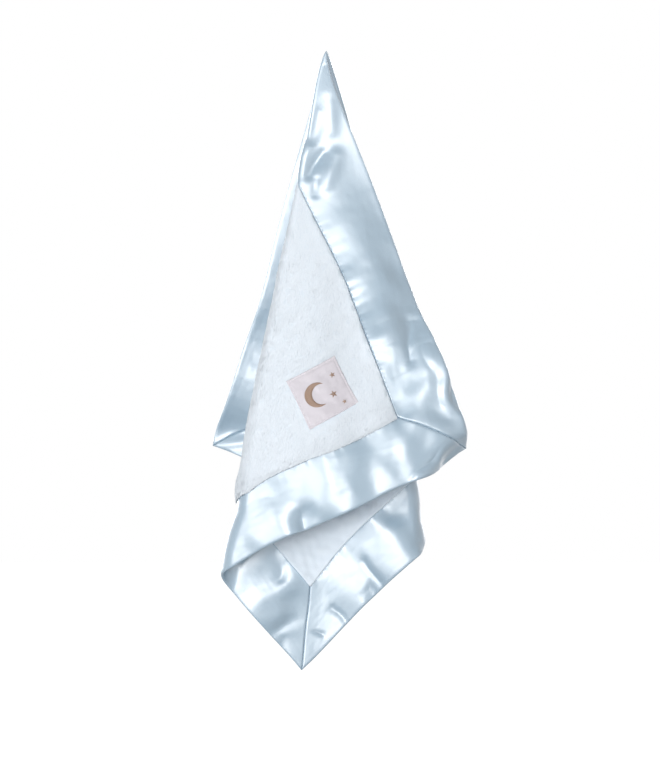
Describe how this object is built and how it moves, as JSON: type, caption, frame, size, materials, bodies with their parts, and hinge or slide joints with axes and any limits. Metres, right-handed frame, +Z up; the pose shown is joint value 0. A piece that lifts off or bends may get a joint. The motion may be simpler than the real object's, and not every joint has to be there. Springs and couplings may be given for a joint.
{
  "type": "baby blanket",
  "caption": "Small square plush baby blanket with a wide mitred satin border and a sewn patch, hanging from one corner in fanned folds.",
  "frame": {"origin": "middle of the pinched grip, 68 mm below the held top corner, in the middle layer of cloth", "axes": "+Z up, +X to the right seen from the front, +Y away from the viewer through the layers"},
  "size_m": [0.207, 0.0874, 0.4971],
  "materials": {
    "satin": "glossy pale blue satin",
    "plush": "matte very pale blue plush pile",
    "plush_reverse": "matte short pale blue pile",
    "sewing_thread": "pale blue thread",
    "patch_satin": "soft pinkish white satin",
    "patch_thread": "pinkish white thread",
    "embroidery_thread": "taupe embroidery thread"
  },
  "bodies": {
    "root": {"border_upper_right": "satin", "border_upper_left": "satin", "border_lower_right": "satin", "border_lower_left": "satin", "plush_front": "plush", "plush_back": "plush_reverse", "seam_upper_right": "sewing_thread", "seam_upper_left": "sewing_thread", "seam_lower_right": "sewing_thread", "seam_lower_left": "sewing_thread", "mitre_top": "sewing_thread", "mitre_right": "sewing_thread", "mitre_bottom": "sewing_thread", "mitre_left": "sewing_thread", "label_patch": "patch_satin", "patch_stitch": "patch_thread", "patch_moon": "embroidery_thread", "patch_star_1": "embroidery_thread", "patch_star_2": "embroidery_thread", "patch_star_3": "embroidery_thread"}
  },
  "joints": []
}
